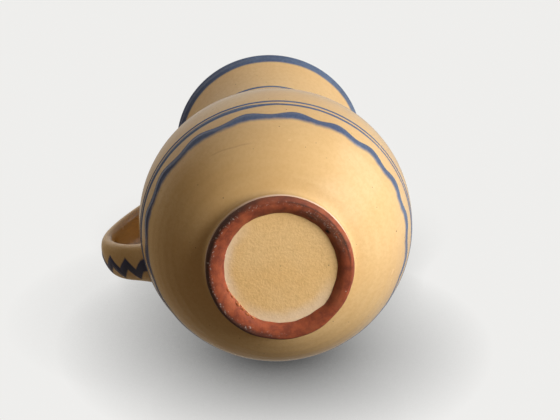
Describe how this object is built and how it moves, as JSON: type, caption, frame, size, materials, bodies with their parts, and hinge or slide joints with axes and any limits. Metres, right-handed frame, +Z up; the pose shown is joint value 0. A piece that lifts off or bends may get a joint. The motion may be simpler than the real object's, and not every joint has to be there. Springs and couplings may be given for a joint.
{
  "type": "ceramic jug",
  "caption": "Round-bellied glazed earthenware jug with a flared neck, a strap handle, a bare clay foot ring and blue slip lines, for pouring drinks.",
  "frame": {"origin": "the middle of the part's box, on the plane that the foot ring stands on", "axes": "+Z up along the jug's own axis, which stands 11 mm along +X from the origin; the handle points along -X; +Y is square to both"},
  "size_m": [0.1531, 0.1302, 0.1923],
  "materials": {
    "honey_glaze": "glossy honey-yellow glaze with small iron specks",
    "floor_glaze": "satin honey glaze, finely crazed and brushed",
    "terracotta": "bare red earthenware, worn and stained",
    "blue_slip": "slate blue slip under the glossy glaze"
  },
  "bodies": {
    "root": {"foot_ring": "terracotta", "base_disc": "floor_glaze", "belly_wall": "honey_glaze", "neck_collar": "honey_glaze", "rim_roll": "honey_glaze", "handle_strap": "honey_glaze", "rim_band": "blue_slip", "neck_line": "blue_slip", "belly_line_upper": "blue_slip", "belly_line_lower": "blue_slip", "wave_line": "blue_slip", "handle_zigzag": "blue_slip"}
  },
  "joints": []
}
